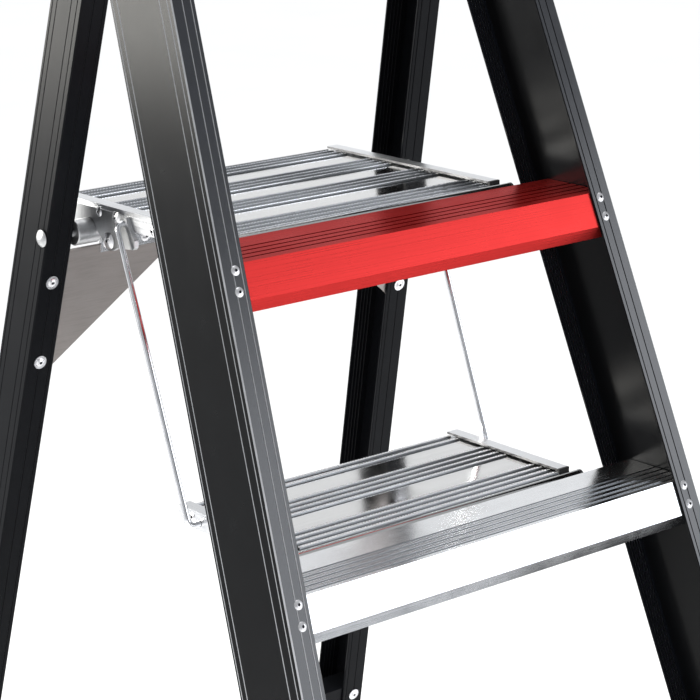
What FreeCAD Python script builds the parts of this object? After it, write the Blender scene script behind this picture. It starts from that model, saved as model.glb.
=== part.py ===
import FreeCAD, Part
import math
import os
from FreeCAD import Vector

# Folding step ladder with two platforms.
# +X is the ladder's right for someone climbing it, +Y points from the climber to the rear
# frame and +Z is up. The floor is z = 0 and the origin is the middle of the footprint.
# Paired pieces are made for the right side and mirrored in the plane x = 0.

# ---- Driving dimensions (mm) ----
STEP_PITCH = 240.0
STEP_COUNT = 5
TOP_Z = STEP_PITCH * STEP_COUNT
FRONT_PLANE_Y = -64.5

# Front frame: outer front corner of the stile, lean rearward and taper inward per mm of height
FRONT_HALF_WIDTH = 207.0
FRONT_LEAN = 0.3737
FRONT_TAPER = 0.066
FRONT_DEPTH = 82.8
FRONT_FLANGE = 21.8
FRONT_TOP_Z = 1772.0

# Rear frame
REAR_SETBACK = 240.1
REAR_HALF_WIDTH = 205.0
REAR_LEAN = -0.2438
REAR_TAPER = 0.0644
REAR_DEPTH = 43.6
REAR_FLANGE = 26.0

WALL = 2.0
RIB_TALL = 0.6
FIT = 0.1
OVERLAP = 0.8
STILE_BOTTOM_Z = 14.0

# Steps: section points (rearward, up) from the step's front top edge
STEP_FRONT_FOOT = (-10.4, -27.8)
STEP_CHAMFER_FOOT = (-5.8, -38.5)
STEP_DEPTH = 68.7
STEP_LIP = 9.0
PLATFORM_LEVELS = (STEP_COUNT - 1, STEP_COUNT)
RED_GROOVES = (11.0, 21.0, 31.0, 41.0)
SILVER_GROOVES = (6.0, 14.0, 22.0, 30.0, 38.0)
GROOVE_WIDTH = 2.4
GROOVE_DEPTH = 0.7

# Blind rivets
RIVET_R = 2.5
RIVET_HEAD_R = 4.0
RIVET_HEAD = 1.3
RIVET_TAIL = 0.4
BULB_R = 3.4
BULB_TIP_R = 2.0
BULB_TALL = 2.2
MANDREL_R = 1.3
MANDREL_DEEP = 1.1
SMALL_HEAD_R = 3.6
GUSSET_HEAD_R = 5.0
WASHER_R = 6.0
WASHER_TALL = 0.9
PROUD = 0.02
RIVET_HOLE_R = 2.6
RIVET_INSET = 12.55
RIVET_DROPS = (3.5, 20.2)
REAR_RIVET_RISE = 4.0

# Main hinge: axis along X, given behind the front plane's line and above the top step
HINGE_BACK = 206.0
HINGE_UP = 224.0
BOLT_R = 4.0
BOLT_HOLE_R = 4.06
BOLT_HEAD = (8.5, 4.2)
BOLT_TAIL = 9.0
NUT_R = 7.5
NUT_TALL = 6.5
WASHER_DISC_R = 7.0
SEAT = 0.05
EAR_THICK = 4.0
EAR_R = 13.0
BRACKET_PLATE = 3.0
BRACKET_INSETS = (1.5, 20.3)
BRACKET_RISES = (-44.0, 22.0)
EAR_ROOT_RISES = (-30.0, 14.0)
BRACKET_RIVETS = ((-36.0, 11.0), (-12.0, 15.6), (14.0, 15.6))
NOTCH_BELOW = 34.0
STILE_ABOVE_HINGE = 15.0
STILE_TOP_CUT = 9.0

# Platforms: nose axis measured from the front top edge of the step in front
NOSE_BACK = 74.3
NOSE_DOWN = 3.5
BEAD_R = 5.0
PIN_R = 3.0
PIN_HOLE_R = 3.06
DECK_TOP = 0.2
RIB_HEIGHT = 1.3
RIB_WIDTH = 3.4
RIB_PITCH = 9.7
SKIN = 1.8
WEB_THICK = 1.6
WEB_FOOT = 9.0
RIB_SLOPE = 0.5
RIB_ROOT = 0.2
BEAD_HALF = 159.5
NECK_HALF = 142.0
BAR_SLOT = (143.6, 160.0)
DECK_HALF = 151.0
RIB_HALF = 142.6
BAR_OUT = 156.0
BAR_WIDE = 12.0
BAR_TOP = 3.76
BAR_TALL = 16.0
BAR_START = 8.8
PLUG_START = 6.0
UPPER_REACH = 230.0
LOWER_REACH = 152.2
BAR_CUT_BACK = 150.0
BAR_CUT_DOWN = 7.4
BAR_LOW_WALL = 6.2
BAR_FLANGE = 1.6
BAR_CORNER = 9.0
# Rivets in a side bar's outer wall: (behind, above) the nose axis
UPPER_BAR_RIVETS = ((26.0, -3.4), (86.0, -3.4))
LOWER_BAR_RIVETS = ((26.0, -3.4), (76.0, -3.4), (132.5, 1.1))
PLUG_TALL = 5.96
PLUG_CHAMFER = 0.5

# Link rods
ROD_R = 2.5
ROD_X = 167.0
ROD_BEND = 6.0
ROD_INNER_X = 147.0
ROD_BACK = 122.5
ROD_DOWN = 2.0
ROD_HOLE_R = 2.58
ROD_OPEN_HOLE_R = 2.9

# Rest studs of the rear frame and the hooks that drop over them
STUD_R = 11.0
STUD_BACK = 251.0
STUD_DOWN = 20.0
STUD_INNER_X = 154.0
STUD_STEP_X = 177.0
STUD_SHANK_R = 3.7
STUD_RIM = 0.8
STUD_HEAD = (7.5, 3.0)
HOOK_GAP = 0.4
HOOK_THICK = 4.0
# Front part of the hook plate and its rivets: (behind, above) the upper nose axis
HOOK_FRONT = ((136.0, 4.5), (118.0, 3.0), (115.0, -4.0), (107.0, -15.0), (107.0, -20.5),
              (110.0, -23.0), (133.0, -25.0), (139.0, -28.5), (146.0, -29.5), (149.5, -27.5),
              (153.0, -22.5))
HOOK_RIVETS = ((132.5, 1.1), (158.0, 1.5), (206.0, 1.5))
HOOK_HEADS = (5.5, RIVET_HEAD_R, RIVET_HEAD_R)
STOP_RIVET = (145.3, -21.0)
STOP_HEAD_R = 7.4

# Rear cross-members
CROSS_DROP = 7.0
CROSS_TALL = 35.0
CROSS_HALF = 150.0
CROSS_REACH = 28.0
CROSS_LIP = 12.0
CROSS_PANEL = 2.3
LOWER_CROSS_Z = (610.0, 140.0)
LOWER_CROSS_TALL = 40.0
LOWER_CROSS_DEEP = 24.0
# Gusset: (x, rise) points on the cross-member's front plane
GUSSET_THICK = 2.5
GUSSET_OUTLINE = ((44.0, -4.0), (148.5, -4.0), (148.5, -29.0), (202.5, -29.0), (209.0, -152.0),
                  (206.0, -152.0), (66.0, -CROSS_TALL), (44.0, -CROSS_TALL))
GUSSET_RIVETS = ((143.0, -27.0), (104.0, -27.0), (65.0, -27.0))
STILE_RIVET_DROPS = (54.0, 128.5)
LOWER_RIVET_DROPS = (10.0, 30.0)
REAR_RIVET_INSET = 12.0
GUSSET_GRIP = 5.2
STILE_GRIP = 6.5

# Feet
SOLE = 10.0
SHOE_TOP = 82.0
SHOE_WALL = 2.6

# Tool tray
TRAY_HALF = 182.0
TRAY_FRONT = -10.0
TRAY_DEEP = 150.0
TRAY_TALL = 56.0
TRAY_WALL = 3.0
TRAY_CORNER = 12.0
TROUGH = 34.0
CAP_TALL = 42.0
CAP_LID = 4.0

RIGHT = 1
LEFT = -1
SIDES = {"right": RIGHT, "left": LEFT}


# ---- Helpers ----
def save(name, shape):
    shape.exportStep("parts/" + name + ".step")


def mirrored(shape):
    return shape.mirror(Vector(0, 0, 0), Vector(1, 0, 0))


def for_side(shape, side):
    return shape if side == RIGHT else mirrored(shape)


def both_sides(shapes):
    return list(shapes) + [mirrored(shape) for shape in shapes]


def face(points):
    ring = [Vector(a, b, 0) for a, b in points]
    return Part.Face(Part.makePolygon(ring + [ring[0]]))


def prism(points, low, high):
    """Prism of a section in local X, Y that runs from low to high along local Z."""
    solid = face(points).extrude(Vector(0, 0, high - low))
    solid.translate(Vector(0, 0, low))
    return solid


def box(low, high):
    size = [b - a for a, b in zip(low, high)]
    return Part.makeBox(size[0], size[1], size[2], Vector(*low))


def rod_x(radius, x_low, x_high, y, z):
    return Part.makeCylinder(radius, x_high - x_low, Vector(x_low, y, z), Vector(1, 0, 0))


def across(points, x_low, x_high):
    """Prism along X of a section given as (y, z) points."""
    ring = [Vector(x_low, y, z) for y, z in points]
    sheet = Part.Face(Part.makePolygon(ring + [ring[0]]))
    return sheet.extrude(Vector(x_high - x_low, 0, 0))


def slab(z_low, z_high):
    return box((-400, -700, z_low), (400, 900, z_high))


def placement(x_axis, y_axis, z_axis, origin):
    return FreeCAD.Placement(FreeCAD.Matrix(
        x_axis.x, y_axis.x, z_axis.x, origin.x,
        x_axis.y, y_axis.y, z_axis.y, origin.y,
        x_axis.z, y_axis.z, z_axis.z, origin.z,
        0, 0, 0, 1))


def placed(shape, where):
    moved = shape.copy()
    moved.Placement = where.multiply(moved.Placement)
    return moved


def dome(radius, height):
    """Low button head whose flat lies on local z = 0 and whose crown is at z = height."""
    ball = (radius * radius + height * height) / (2 * height)
    sphere = Part.makeSphere(ball, Vector(0, 0, height - ball))
    return sphere.common(Part.makeCylinder(radius, height, Vector(0, 0, 0)))


def blind_rivet(grip, head_r=RIVET_HEAD_R):
    """Rivet along local -Z: head above z = 0, shank through the grip, bulb beyond it."""
    crown = RIVET_HEAD * head_r / RIVET_HEAD_R
    head = dome(head_r, crown)
    pocket = Part.makeCylinder(MANDREL_R, crown, Vector(0, 0, crown - MANDREL_DEEP))
    tail = -grip - RIVET_TAIL
    shank = Part.makeCylinder(RIVET_R, -tail, Vector(0, 0, tail))
    bulb = Part.makeCone(BULB_TIP_R, BULB_R, BULB_TALL, Vector(0, 0, tail - BULB_TALL))
    return head.cut(pocket).fuse([shank, bulb]).removeSplitter()


def aimed(shape, point, direction):
    """Local +Z turned to the direction, local origin put at the point."""
    turn = FreeCAD.Rotation(Vector(0, 0, 1), direction)
    return placed(shape, FreeCAD.Placement(point, turn))


# ---- Frames of the two pairs of stiles ----
class Rail:
    """A right-hand stile: local X is depth rearward, Y is inward, Z is up along the stile."""

    def __init__(self, plane_y, half_width, lean, taper, depth, flange):
        self.plane_y = plane_y
        self.half_width = half_width
        self.lean = lean
        self.taper = taper
        self.depth = depth
        self.flange = flange
        self.along = Vector(-taper, lean, 1).normalize()
        self.back = Vector(0, 1, -lean).normalize()
        self.inward = self.along.cross(self.back).normalize()
        self.rise = Vector(0, lean, 1).normalize()

    def corner(self, z):
        drop = z - TOP_Z
        return Vector(self.half_width - self.taper * drop, self.plane_y + self.lean * drop, z)

    def frame(self, z):
        """Frame on the outer front corner at height z, tilted with the taper."""
        return placement(self.back, self.inward, self.along, self.corner(z))

    def side_frame(self, z):
        """Frame in the plane x = 0 on the front plane; local Y points to -X."""
        corner = self.corner(z)
        return placement(self.back, Vector(-1, 0, 0), self.rise, Vector(0, corner.y, z))

    def point(self, z, depth, inward):
        return self.frame(z).multVec(Vector(depth, inward, 0))


FRONT = Rail(FRONT_PLANE_Y, FRONT_HALF_WIDTH, FRONT_LEAN, FRONT_TAPER, FRONT_DEPTH, FRONT_FLANGE)
REAR = Rail(FRONT_PLANE_Y + REAR_SETBACK, REAR_HALF_WIDTH, REAR_LEAN, REAR_TAPER,
            REAR_DEPTH, REAR_FLANGE)
HINGE = Vector(0, FRONT_PLANE_Y + HINGE_BACK, TOP_Z + HINGE_UP)


def groove(at, depth=0.6, half=0.55):
    """Three points of a V groove cut into the side that runs along an axis."""
    return [(at - half, 0.0), (at, depth), (at + half, 0.0)]


def channel_section(rail, web_grooves, face_grooves, ribs, clearance=0.0):
    """C section: web on local Y = 0, flanges turned inward, fine ribs in the rear flange."""
    depth = rail.depth
    reach = rail.flange
    grow = clearance
    if clearance:
        inner = depth - WALL - RIB_TALL - grow
        return [(-grow, -grow), (depth + grow, -grow), (depth + grow, reach + grow),
                (inner, reach + grow), (inner, WALL + grow),
                (WALL + grow, WALL + grow), (WALL + grow, reach + grow), (-grow, reach + grow)]
    points = [(1.0, 0.0)]
    for at in web_grooves:
        points += groove(at)
    points += [(depth - 1.0, 0.0), (depth, 1.0), (depth, reach - 0.6), (depth - 0.6, reach),
               (depth - WALL, reach)]
    for at in ribs:
        points += [(depth - WALL, at + 0.7), (depth - WALL - RIB_TALL, at), (depth - WALL, at - 0.7)]
    points += [(depth - WALL, WALL), (WALL, WALL), (WALL, reach), (0.6, reach), (0.0, reach - 0.6)]
    for at in face_grooves:
        points += [(offset, along) for along, offset in reversed(groove(at))]
    points.append((0.0, 1.0))
    return points


FRONT_WEB_GROOVES = (5.4, 15.6, FRONT_DEPTH - 10.0, FRONT_DEPTH - 3.4)
FRONT_FACE_GROOVES = (FRONT_FLANGE - 4.0, 10.0)
FRONT_RIBS = (18.6, 15.6, 12.6, 9.6, 6.6)
REAR_WEB_GROOVES = (6.0, 14.0, REAR_DEPTH - 10.0, REAR_DEPTH - 4.0)
REAR_FACE_GROOVES = (REAR_FLANGE - 4.0, 12.0)
REAR_RIBS = (21.0, 17.0, 13.0, 9.0)


def long_prism(rail, section, z_low, z_high):
    """Section run along the stile and cut level at both heights."""
    margin = 60.0
    run = (z_high - z_low) / rail.along.z
    solid = placed(prism(section, -margin, run + margin), rail.frame(z_low))
    return solid.common(slab(z_low, z_high))


# ---- Steps ----
def step_edge(level):
    """Point (y, z) of a step's front top edge, just behind the stile's front flange."""
    z = STEP_PITCH * level
    return FRONT.corner(z).y + (WALL + FIT) / FRONT.back.y, z


def step_profile(inset):
    """Outline of the step section, moved inward by the wall thickness when inset is given."""
    tall = -STEP_CHAMFER_FOOT[1]
    outline = [Vector(0, 0, 0), Vector(0, *STEP_FRONT_FOOT), Vector(0, *STEP_CHAMFER_FOOT),
               Vector(0, STEP_DEPTH - FRONT_LEAN * tall, -tall), Vector(0, STEP_DEPTH, 0)]
    sheet = Part.Face(Part.makePolygon(outline + [outline[0]]))
    return sheet.makeOffset2D(-inset) if inset else sheet


def step_half_length(level):
    """Half length that clears the web where the stile is narrowest, at the step's rear edge."""
    z = STEP_PITCH * level - STEP_DEPTH * FRONT.back.z
    return FRONT.corner(z).x - WALL - 0.5


def rivet_point(z, rise, depth, inset=RIVET_INSET):
    return FRONT.frame(z).multVec(Vector(depth, inset, rise))


def make_step(level, grooves):
    edge_y, edge_z = step_edge(level)
    half = step_half_length(level)
    length = Vector(2 * half, 0, 0)
    body = step_profile(0).extrude(length)
    hollow = step_profile(WALL).extrude(length)
    floor = STEP_CHAMFER_FOOT[1]
    rear_foot = STEP_DEPTH + FRONT_LEAN * floor
    slot = box((0, STEP_LIP, floor - 1), (2 * half, rear_foot - STEP_LIP, floor + WALL + 1))
    cuts = [hollow, slot]
    for at in grooves:
        cuts.append(box((-1, at - GROOVE_WIDTH / 2, -GROOVE_DEPTH),
                        (2 * half + 1, at + GROOVE_WIDTH / 2, 1)))
    body = body.cut(cuts)
    body.translate(Vector(-half, edge_y, edge_z))
    holes = []
    for drop in RIVET_DROPS:
        holes.append(Part.makeCylinder(RIVET_HOLE_R, 9, rivet_point(edge_z, -drop, -1), FRONT.back))
    rear = rivet_point(edge_z, REAR_RIVET_RISE, SPACER_FRONT - 8)
    holes.append(Part.makeCylinder(RIVET_HOLE_R, 12, rear, FRONT.back))
    if level in PLATFORM_LEVELS:
        ear = ear_rivet_point(edge_z, SPACER_FRONT - 8)
        holes.append(Part.makeCylinder(RIVET_HOLE_R, 12, ear, FRONT.back))
    return body.cut(both_sides(holes))


SPACER_FRONT = FRONT.back.y * STEP_DEPTH + WALL + 2 * FIT
SPACER_REAR = FRONT_DEPTH - WALL - RIB_TALL - FIT
SPACER_RISES = (-12.0, 18.0)


def make_spacer(level):
    """Small channel that ties the step's rear wall to the stile's rear flange."""
    section = [(SPACER_FRONT, WALL + FIT), (SPACER_REAR, WALL + FIT), (SPACER_REAR, 20.5),
               (SPACER_REAR - WALL, 20.5), (SPACER_REAR - WALL, 2 * WALL + FIT),
               (SPACER_FRONT + WALL, 2 * WALL + FIT), (SPACER_FRONT + WALL, 20.5),
               (SPACER_FRONT, 20.5)]
    z = STEP_PITCH * level
    spacer = placed(prism(section, *SPACER_RISES), FRONT.frame(z))
    start = rivet_point(z, REAR_RIVET_RISE, SPACER_FRONT - 4)
    return spacer.cut(Part.makeCylinder(RIVET_HOLE_R, 24, start, FRONT.back))


def make_step_rivets():
    rivets = []
    for level in range(1, STEP_COUNT + 1):
        for drop in RIVET_DROPS:
            spot = rivet_point(STEP_PITCH * level, -drop, -PROUD)
            rivets.append(aimed(blind_rivet(2 * WALL + FIT), spot, FRONT.back * -1))
    return Part.makeCompound(both_sides(rivets))


# ---- Front stiles ----
def make_front_stile():
    section = channel_section(FRONT, FRONT_WEB_GROOVES, FRONT_FACE_GROOVES, FRONT_RIBS)
    stile = long_prism(FRONT, section, STILE_BOTTOM_Z, FRONT_TOP_Z)
    holes = []
    for level in range(1, STEP_COUNT + 1):
        z = STEP_PITCH * level
        for drop in RIVET_DROPS:
            holes.append(Part.makeCylinder(RIVET_HOLE_R, 4, rivet_point(z, -drop, -1), FRONT.back))
        rear = rivet_point(z, REAR_RIVET_RISE, 78)
        holes.append(Part.makeCylinder(RIVET_HOLE_R, 8, rear, FRONT.back))
    for rise, inset in BRACKET_RIVETS:
        holes.append(Part.makeCylinder(RIVET_HOLE_R, 8, bracket_point(rise, 78, inset), FRONT.back))
    return stile.cut(holes)


# ---- Main hinge ----
def hinge_depth_and_rise():
    """Hinge axis in the front side frame at the top step: depth and rise along the stile."""
    local = FRONT.side_frame(TOP_Z).inverse().multVec(HINGE)
    return local.x, local.z


HINGE_DEPTH, HINGE_RISE = hinge_depth_and_rise()
HINGE_LEVEL = TOP_Z + HINGE_RISE * FRONT.rise.z
REAR_HINGE_DEPTH = REAR.side_frame(HINGE.z).inverse().multVec(HINGE).x
REAR_WEB_X = REAR.corner(HINGE.z - REAR_HINGE_DEPTH * REAR.back.z).x - WALL
EAR_X = REAR_WEB_X - 3.1


def bracket_point(rise, depth, inset):
    return FRONT.frame(HINGE_LEVEL).multVec(Vector(depth, inset, rise))


def make_hinge_bracket():
    """Plate on the stile's rear flange with an ear that carries the hinge bolt."""
    face_depth = FRONT_DEPTH + FIT
    plate = box((face_depth, BRACKET_INSETS[0], BRACKET_RISES[0]),
                (face_depth + BRACKET_PLATE, BRACKET_INSETS[1], BRACKET_RISES[1]))
    plate = placed(plate, FRONT.frame(HINGE_LEVEL))
    base = face_depth + BRACKET_PLATE - OVERLAP
    outline = [(base, EAR_ROOT_RISES[0]), (HINGE_DEPTH, -EAR_R), (HINGE_DEPTH, EAR_R),
               (base, EAR_ROOT_RISES[1])]
    ring = [Vector(depth, 0, rise) for depth, rise in outline]
    ear = Part.Face(Part.makePolygon(ring + [ring[0]])).extrude(Vector(0, EAR_THICK, 0))
    eye = Part.makeCylinder(EAR_R, EAR_THICK, Vector(HINGE_DEPTH, 0, 0), Vector(0, 1, 0))
    ear = ear.fuse(eye)
    frame = FRONT.side_frame(HINGE_LEVEL)
    ear = placed(ear, frame)
    ear.translate(Vector(EAR_X, 0, 0))
    bracket = plate.fuse(ear).removeSplitter()
    cuts = [rod_x(BOLT_HOLE_R, EAR_X - 10, EAR_X + 10, HINGE.y, HINGE.z)]
    for rise, inset in BRACKET_RIVETS:
        cuts.append(Part.makeCylinder(RIVET_HOLE_R, 12, bracket_point(rise, 78, inset), FRONT.back))
    return bracket.cut(cuts)


def hexagon(radius, x_low, x_high, y, z):
    ring = [(y + radius * math.cos(math.radians(60 * k)), z + radius * math.sin(math.radians(60 * k)))
            for k in range(6)]
    return across(ring, x_low, x_high)


BOLT_HEAD_X = REAR_WEB_X + WALL + 0.95
WASHER_OUT_X = REAR_WEB_X - 0.8


def make_hinge_bolt():
    head = aimed(dome(*BOLT_HEAD), Vector(BOLT_HEAD_X, HINGE.y, HINGE.z), Vector(1, 0, 0))
    shank = rod_x(BOLT_R, EAR_X - EAR_THICK - BOLT_TAIL, BOLT_HEAD_X + 0.5, HINGE.y, HINGE.z)
    return head.fuse(shank).removeSplitter()


def make_hinge_nut():
    x_high = EAR_X - EAR_THICK - SEAT
    nut = hexagon(NUT_R, x_high - NUT_TALL, x_high, HINGE.y, HINGE.z)
    return nut.cut(rod_x(BOLT_HOLE_R, x_high - 10, x_high + 2, HINGE.y, HINGE.z))


def make_hinge_washer():
    disc = rod_x(WASHER_DISC_R, EAR_X + SEAT, WASHER_OUT_X, HINGE.y, HINGE.z)
    return disc.cut(rod_x(BOLT_HOLE_R, EAR_X - 2, EAR_X + 6, HINGE.y, HINGE.z))


# ---- Rear stiles ----
def make_rear_stile():
    section = channel_section(REAR, REAR_WEB_GROOVES, REAR_FACE_GROOVES, REAR_RIBS)
    stile = long_prism(REAR, section, STILE_BOTTOM_Z, HINGE.z + 60)
    frame = REAR.frame(HINGE.z)
    local = frame.inverse().multVec(Vector(REAR.corner(HINGE.z).x, HINGE.y, HINGE.z))
    top = local.z + STILE_ABOVE_HINGE
    crop = placed(box((-20, -20, top), (90, 60, top + 90)), frame)
    notch = placed(box((-5, WALL + 0.4, local.z - NOTCH_BELOW), (WALL + 1.2, 40, top + 5)), frame)
    corners = []
    for edge, inner in ((-1, STILE_TOP_CUT), (REAR_DEPTH + 1, REAR_DEPTH - STILE_TOP_CUT)):
        points = [(edge, top - STILE_TOP_CUT), (edge, top + 1), (inner, top + 1)]
        ring = [Vector(depth, -5, rise) for depth, rise in points]
        wedge = Part.Face(Part.makePolygon(ring + [ring[0]])).extrude(Vector(0, 50, 0))
        corners.append(placed(wedge, frame))
    bores = [rod_x(BOLT_HOLE_R, 150, 240, HINGE.y, HINGE.z)]
    bores.append(rod_x(STUD_SHANK_R + FIT, 190, 240, STUD.y, STUD.z))
    for spot in rear_rivet_spots():
        bores.append(Part.makeCylinder(RIVET_HOLE_R, 6, spot - REAR.back * 3, REAR.back))
    return stile.cut([crop, notch] + corners + bores)


# ---- Rear frame furniture ----
STUD = Vector(0, FRONT_PLANE_Y + STUD_BACK, TOP_Z - STUD_DOWN)
CROSS_Z = TOP_Z - CROSS_DROP


def rear_rivet_spots():
    """Rivets in the right rear stile's front flange, as points on the front plane."""
    spots = []
    for drop in STILE_RIVET_DROPS:
        spots.append(REAR.point(CROSS_Z - drop * REAR.rise.z, 0, REAR_RIVET_INSET))
    for z in LOWER_CROSS_Z:
        for drop in LOWER_RIVET_DROPS:
            spots.append(REAR.point(z - drop * REAR.rise.z, 0, REAR_RIVET_INSET))
    return spots


def in_cross_frame(z, x, rise, depth=0.0):
    return REAR.side_frame(z).multVec(Vector(depth, -x, rise))


def cross_prism(section, z, half):
    """Prism along X of a (depth, rise) section on the rear front plane at height z."""
    ring = [Vector(depth, half, rise) for depth, rise in section]
    bar = Part.Face(Part.makePolygon(ring + [ring[0]])).extrude(Vector(0, -2 * half, 0))
    return placed(bar, REAR.side_frame(z))


def make_upper_cross_member():
    """Light angle whose top carries the platform's rear edge."""
    reach = CROSS_REACH
    fall = REAR_LEAN * reach
    panel = CROSS_PANEL
    front = [(0, -CROSS_TALL), (0, -16.6), (0.6, -16.0), (0.6, -0.6), (0.9, -0.3)]
    section = front + [(reach, fall), (reach, fall - CROSS_LIP), (reach - WALL, fall - CROSS_LIP),
                       (reach - WALL, fall - WALL), (panel, -3.0), (panel, -CROSS_TALL)]
    bar = cross_prism(section, CROSS_Z, CROSS_HALF)
    holes = []
    for x, rise in GUSSET_RIVETS:
        spot = in_cross_frame(CROSS_Z, x, rise, -1)
        holes.append(Part.makeCylinder(RIVET_HOLE_R, 6, spot, REAR.back))
    return bar.cut(both_sides(holes))


def make_gusset():
    """Flat plate behind the cross-member and the stile's front flange, right side."""
    low = CROSS_PANEL + 3 * FIT
    ring = [Vector(low, -x, rise) for x, rise in GUSSET_OUTLINE]
    sheet = Part.Face(Part.makePolygon(ring + [ring[0]]))
    plate = placed(sheet.extrude(Vector(GUSSET_THICK, 0, 0)), REAR.side_frame(CROSS_Z))
    holes = []
    for x, rise in GUSSET_RIVETS:
        spot = in_cross_frame(CROSS_Z, x, rise, -1)
        holes.append(Part.makeCylinder(RIVET_HOLE_R, 9, spot, REAR.back))
    for spot in rear_rivet_spots()[:len(STILE_RIVET_DROPS)]:
        holes.append(Part.makeCylinder(RIVET_HOLE_R, 9, spot - REAR.back, REAR.back))
    return plate.cut(holes)


def make_lower_cross_member(index):
    """Plain channel between the rear stiles, riveted behind their front flanges."""
    z = LOWER_CROSS_Z[index]
    front = WALL + 2 * FIT
    back = front + LOWER_CROSS_DEEP
    tall = LOWER_CROSS_TALL
    section = [(front, 0), (back, 0), (back, -WALL), (front + WALL, -WALL),
               (front + WALL, -tall + WALL), (back, -tall + WALL), (back, -tall), (front, -tall)]
    half = REAR.corner(z).x - WALL - 1.0
    bar = cross_prism(section, z, half)
    holes = []
    first = len(STILE_RIVET_DROPS) + index * len(LOWER_RIVET_DROPS)
    for spot in rear_rivet_spots()[first:first + len(LOWER_RIVET_DROPS)]:
        holes.append(Part.makeCylinder(RIVET_HOLE_R, 9, spot - REAR.back, REAR.back))
    return bar.cut(both_sides(holes))


def make_rear_rivets():
    forward = REAR.back * -1
    rivets = []
    for x, rise in GUSSET_RIVETS:
        spot = in_cross_frame(CROSS_Z, x, rise, -PROUD)
        rivets.append(aimed(blind_rivet(GUSSET_GRIP, GUSSET_HEAD_R), spot, forward))
    for spot in rear_rivet_spots():
        washer = Part.makeCylinder(WASHER_R, WASHER_TALL, Vector(0, 0, 0))
        rivet = blind_rivet(STILE_GRIP)
        rivet.translate(Vector(0, 0, WASHER_TALL))
        rivets.append(aimed(washer.fuse(rivet).removeSplitter(), spot + forward * PROUD, forward))
    return Part.makeCompound(both_sides(rivets))


def make_rest_stud():
    """Turned stud bolted through the rear stile's web; the platform's hook drops over it."""
    web_x = REAR.corner(STUD.z).x
    body = rod_x(STUD_R, STUD_INNER_X, STUD_STEP_X, STUD.y, STUD.z)
    rim = body.Edges
    body = body.makeChamfer(STUD_RIM, [e for e in rim if len(e.Vertexes) == 1])
    shank = rod_x(STUD_SHANK_R, STUD_STEP_X - 1, web_x + 2.4, STUD.y, STUD.z)
    head = aimed(dome(*STUD_HEAD), Vector(web_x + 1.2, STUD.y, STUD.z), Vector(1, 0, 0))
    return body.fuse([shank, head]).removeSplitter()


# ---- Platforms ----
def nose_axis(level):
    edge_y, edge_z = step_edge(level)
    return Vector(0, edge_y + NOSE_BACK, edge_z - NOSE_DOWN)


def rib_rows(start, count):
    return [start + k * RIB_PITCH for k in range(count)]


def make_plank(level, start, end, ribs, webs, web_foot, bead, rear_lip):
    """Deck extrusion along X; start, end, ribs and webs are distances behind the nose axis."""
    nose = nose_axis(level)
    top = nose.z + NOSE_DOWN + DECK_TOP
    low = top - DECK_TOP + web_foot
    skin = box((-DECK_HALF, nose.y + start, top - SKIN), (DECK_HALF, nose.y + end, top))
    pieces = []
    for at in webs:
        y = nose.y + at
        pieces.append(box((-DECK_HALF, y - WEB_THICK / 2, low),
                          (DECK_HALF, y + WEB_THICK / 2, top - SKIN + RIB_ROOT)))
        pieces.append(box((-DECK_HALF, y - WEB_FOOT / 2, low),
                          (DECK_HALF, y + WEB_FOOT / 2, low + WEB_THICK)))
    for at in ribs:
        y = nose.y + at
        foot = RIB_WIDTH / 2
        crest = foot - RIB_SLOPE
        section = [(y - foot, top - RIB_ROOT), (y + foot, top - RIB_ROOT),
                   (y + crest, top + RIB_HEIGHT), (y - crest, top + RIB_HEIGHT)]
        pieces.append(across(section, -RIB_HALF, RIB_HALF))
    if rear_lip:
        pieces.append(box((-DECK_HALF, nose.y + end - WEB_THICK, low),
                          (DECK_HALF, nose.y + end, top)))
    plank = skin.fuse(pieces)
    if bead:
        knuckle = rod_x(BEAD_R, -BEAD_HALF, BEAD_HALF, nose.y, nose.z)
        neck = box((-NECK_HALF, nose.y, top - SKIN), (NECK_HALF, nose.y + start + 1, top))
        pocket = box((BAR_SLOT[0], nose.y + BEAD_R + SEAT, top - 5),
                     (BAR_SLOT[1], nose.y + BAR_START, top + 5))
        plank = plank.cut(both_sides([pocket]))
        bore = rod_x(PIN_HOLE_R, -BEAD_HALF - 1, BEAD_HALF + 1, nose.y, nose.z)
        plank = plank.fuse([knuckle, neck]).cut(bore)
    return plank.removeSplitter()


UPPER_PLANKS = (
    ("upper_plank_front", 2.0, 84.8, rib_rows(4.6, 4) + [72.3, 82.0], (30.0, 56.0, 78.0), -10.2),
    ("upper_plank_middle", 85.1, 149.4, [91.7, 101.4, 136.2, 145.9], (90.0, 118.0, 144.0), -10.2),
    ("upper_plank_rear", 149.7, 230.0, [155.6, 165.3, 200.5, 210.2, 219.9, 227.6],
     (171.0, 196.0), -6.2),
)
LOWER_PLANKS = (
    ("lower_plank_front", 2.0, 86.4, rib_rows(7.6, 4) + [73.0, 82.6], (30.0, 56.0, 79.0), -10.2),
    ("lower_plank_rear", 86.7, 152.2, [92.2, 101.9, 136.0, 147.0], (100.0, 136.0), -10.2),
)


def bar_section(foot):
    """Side bar: tall outer wall, top flange that stands over the deck's end, bottom flange."""
    out = BAR_OUT
    inner = BAR_OUT - BAR_WIDE
    section = [(out, BAR_TOP), (out, foot)]
    if foot < -BAR_CUT_DOWN:
        section += [(inner, foot), (inner, foot + BAR_FLANGE), (out - WALL, foot + BAR_FLANGE)]
    else:
        section += [(out - WALL, foot)]
    return section + [(out - WALL, BAR_TOP - WALL), (inner, BAR_TOP - WALL), (inner, BAR_TOP)]


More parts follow.
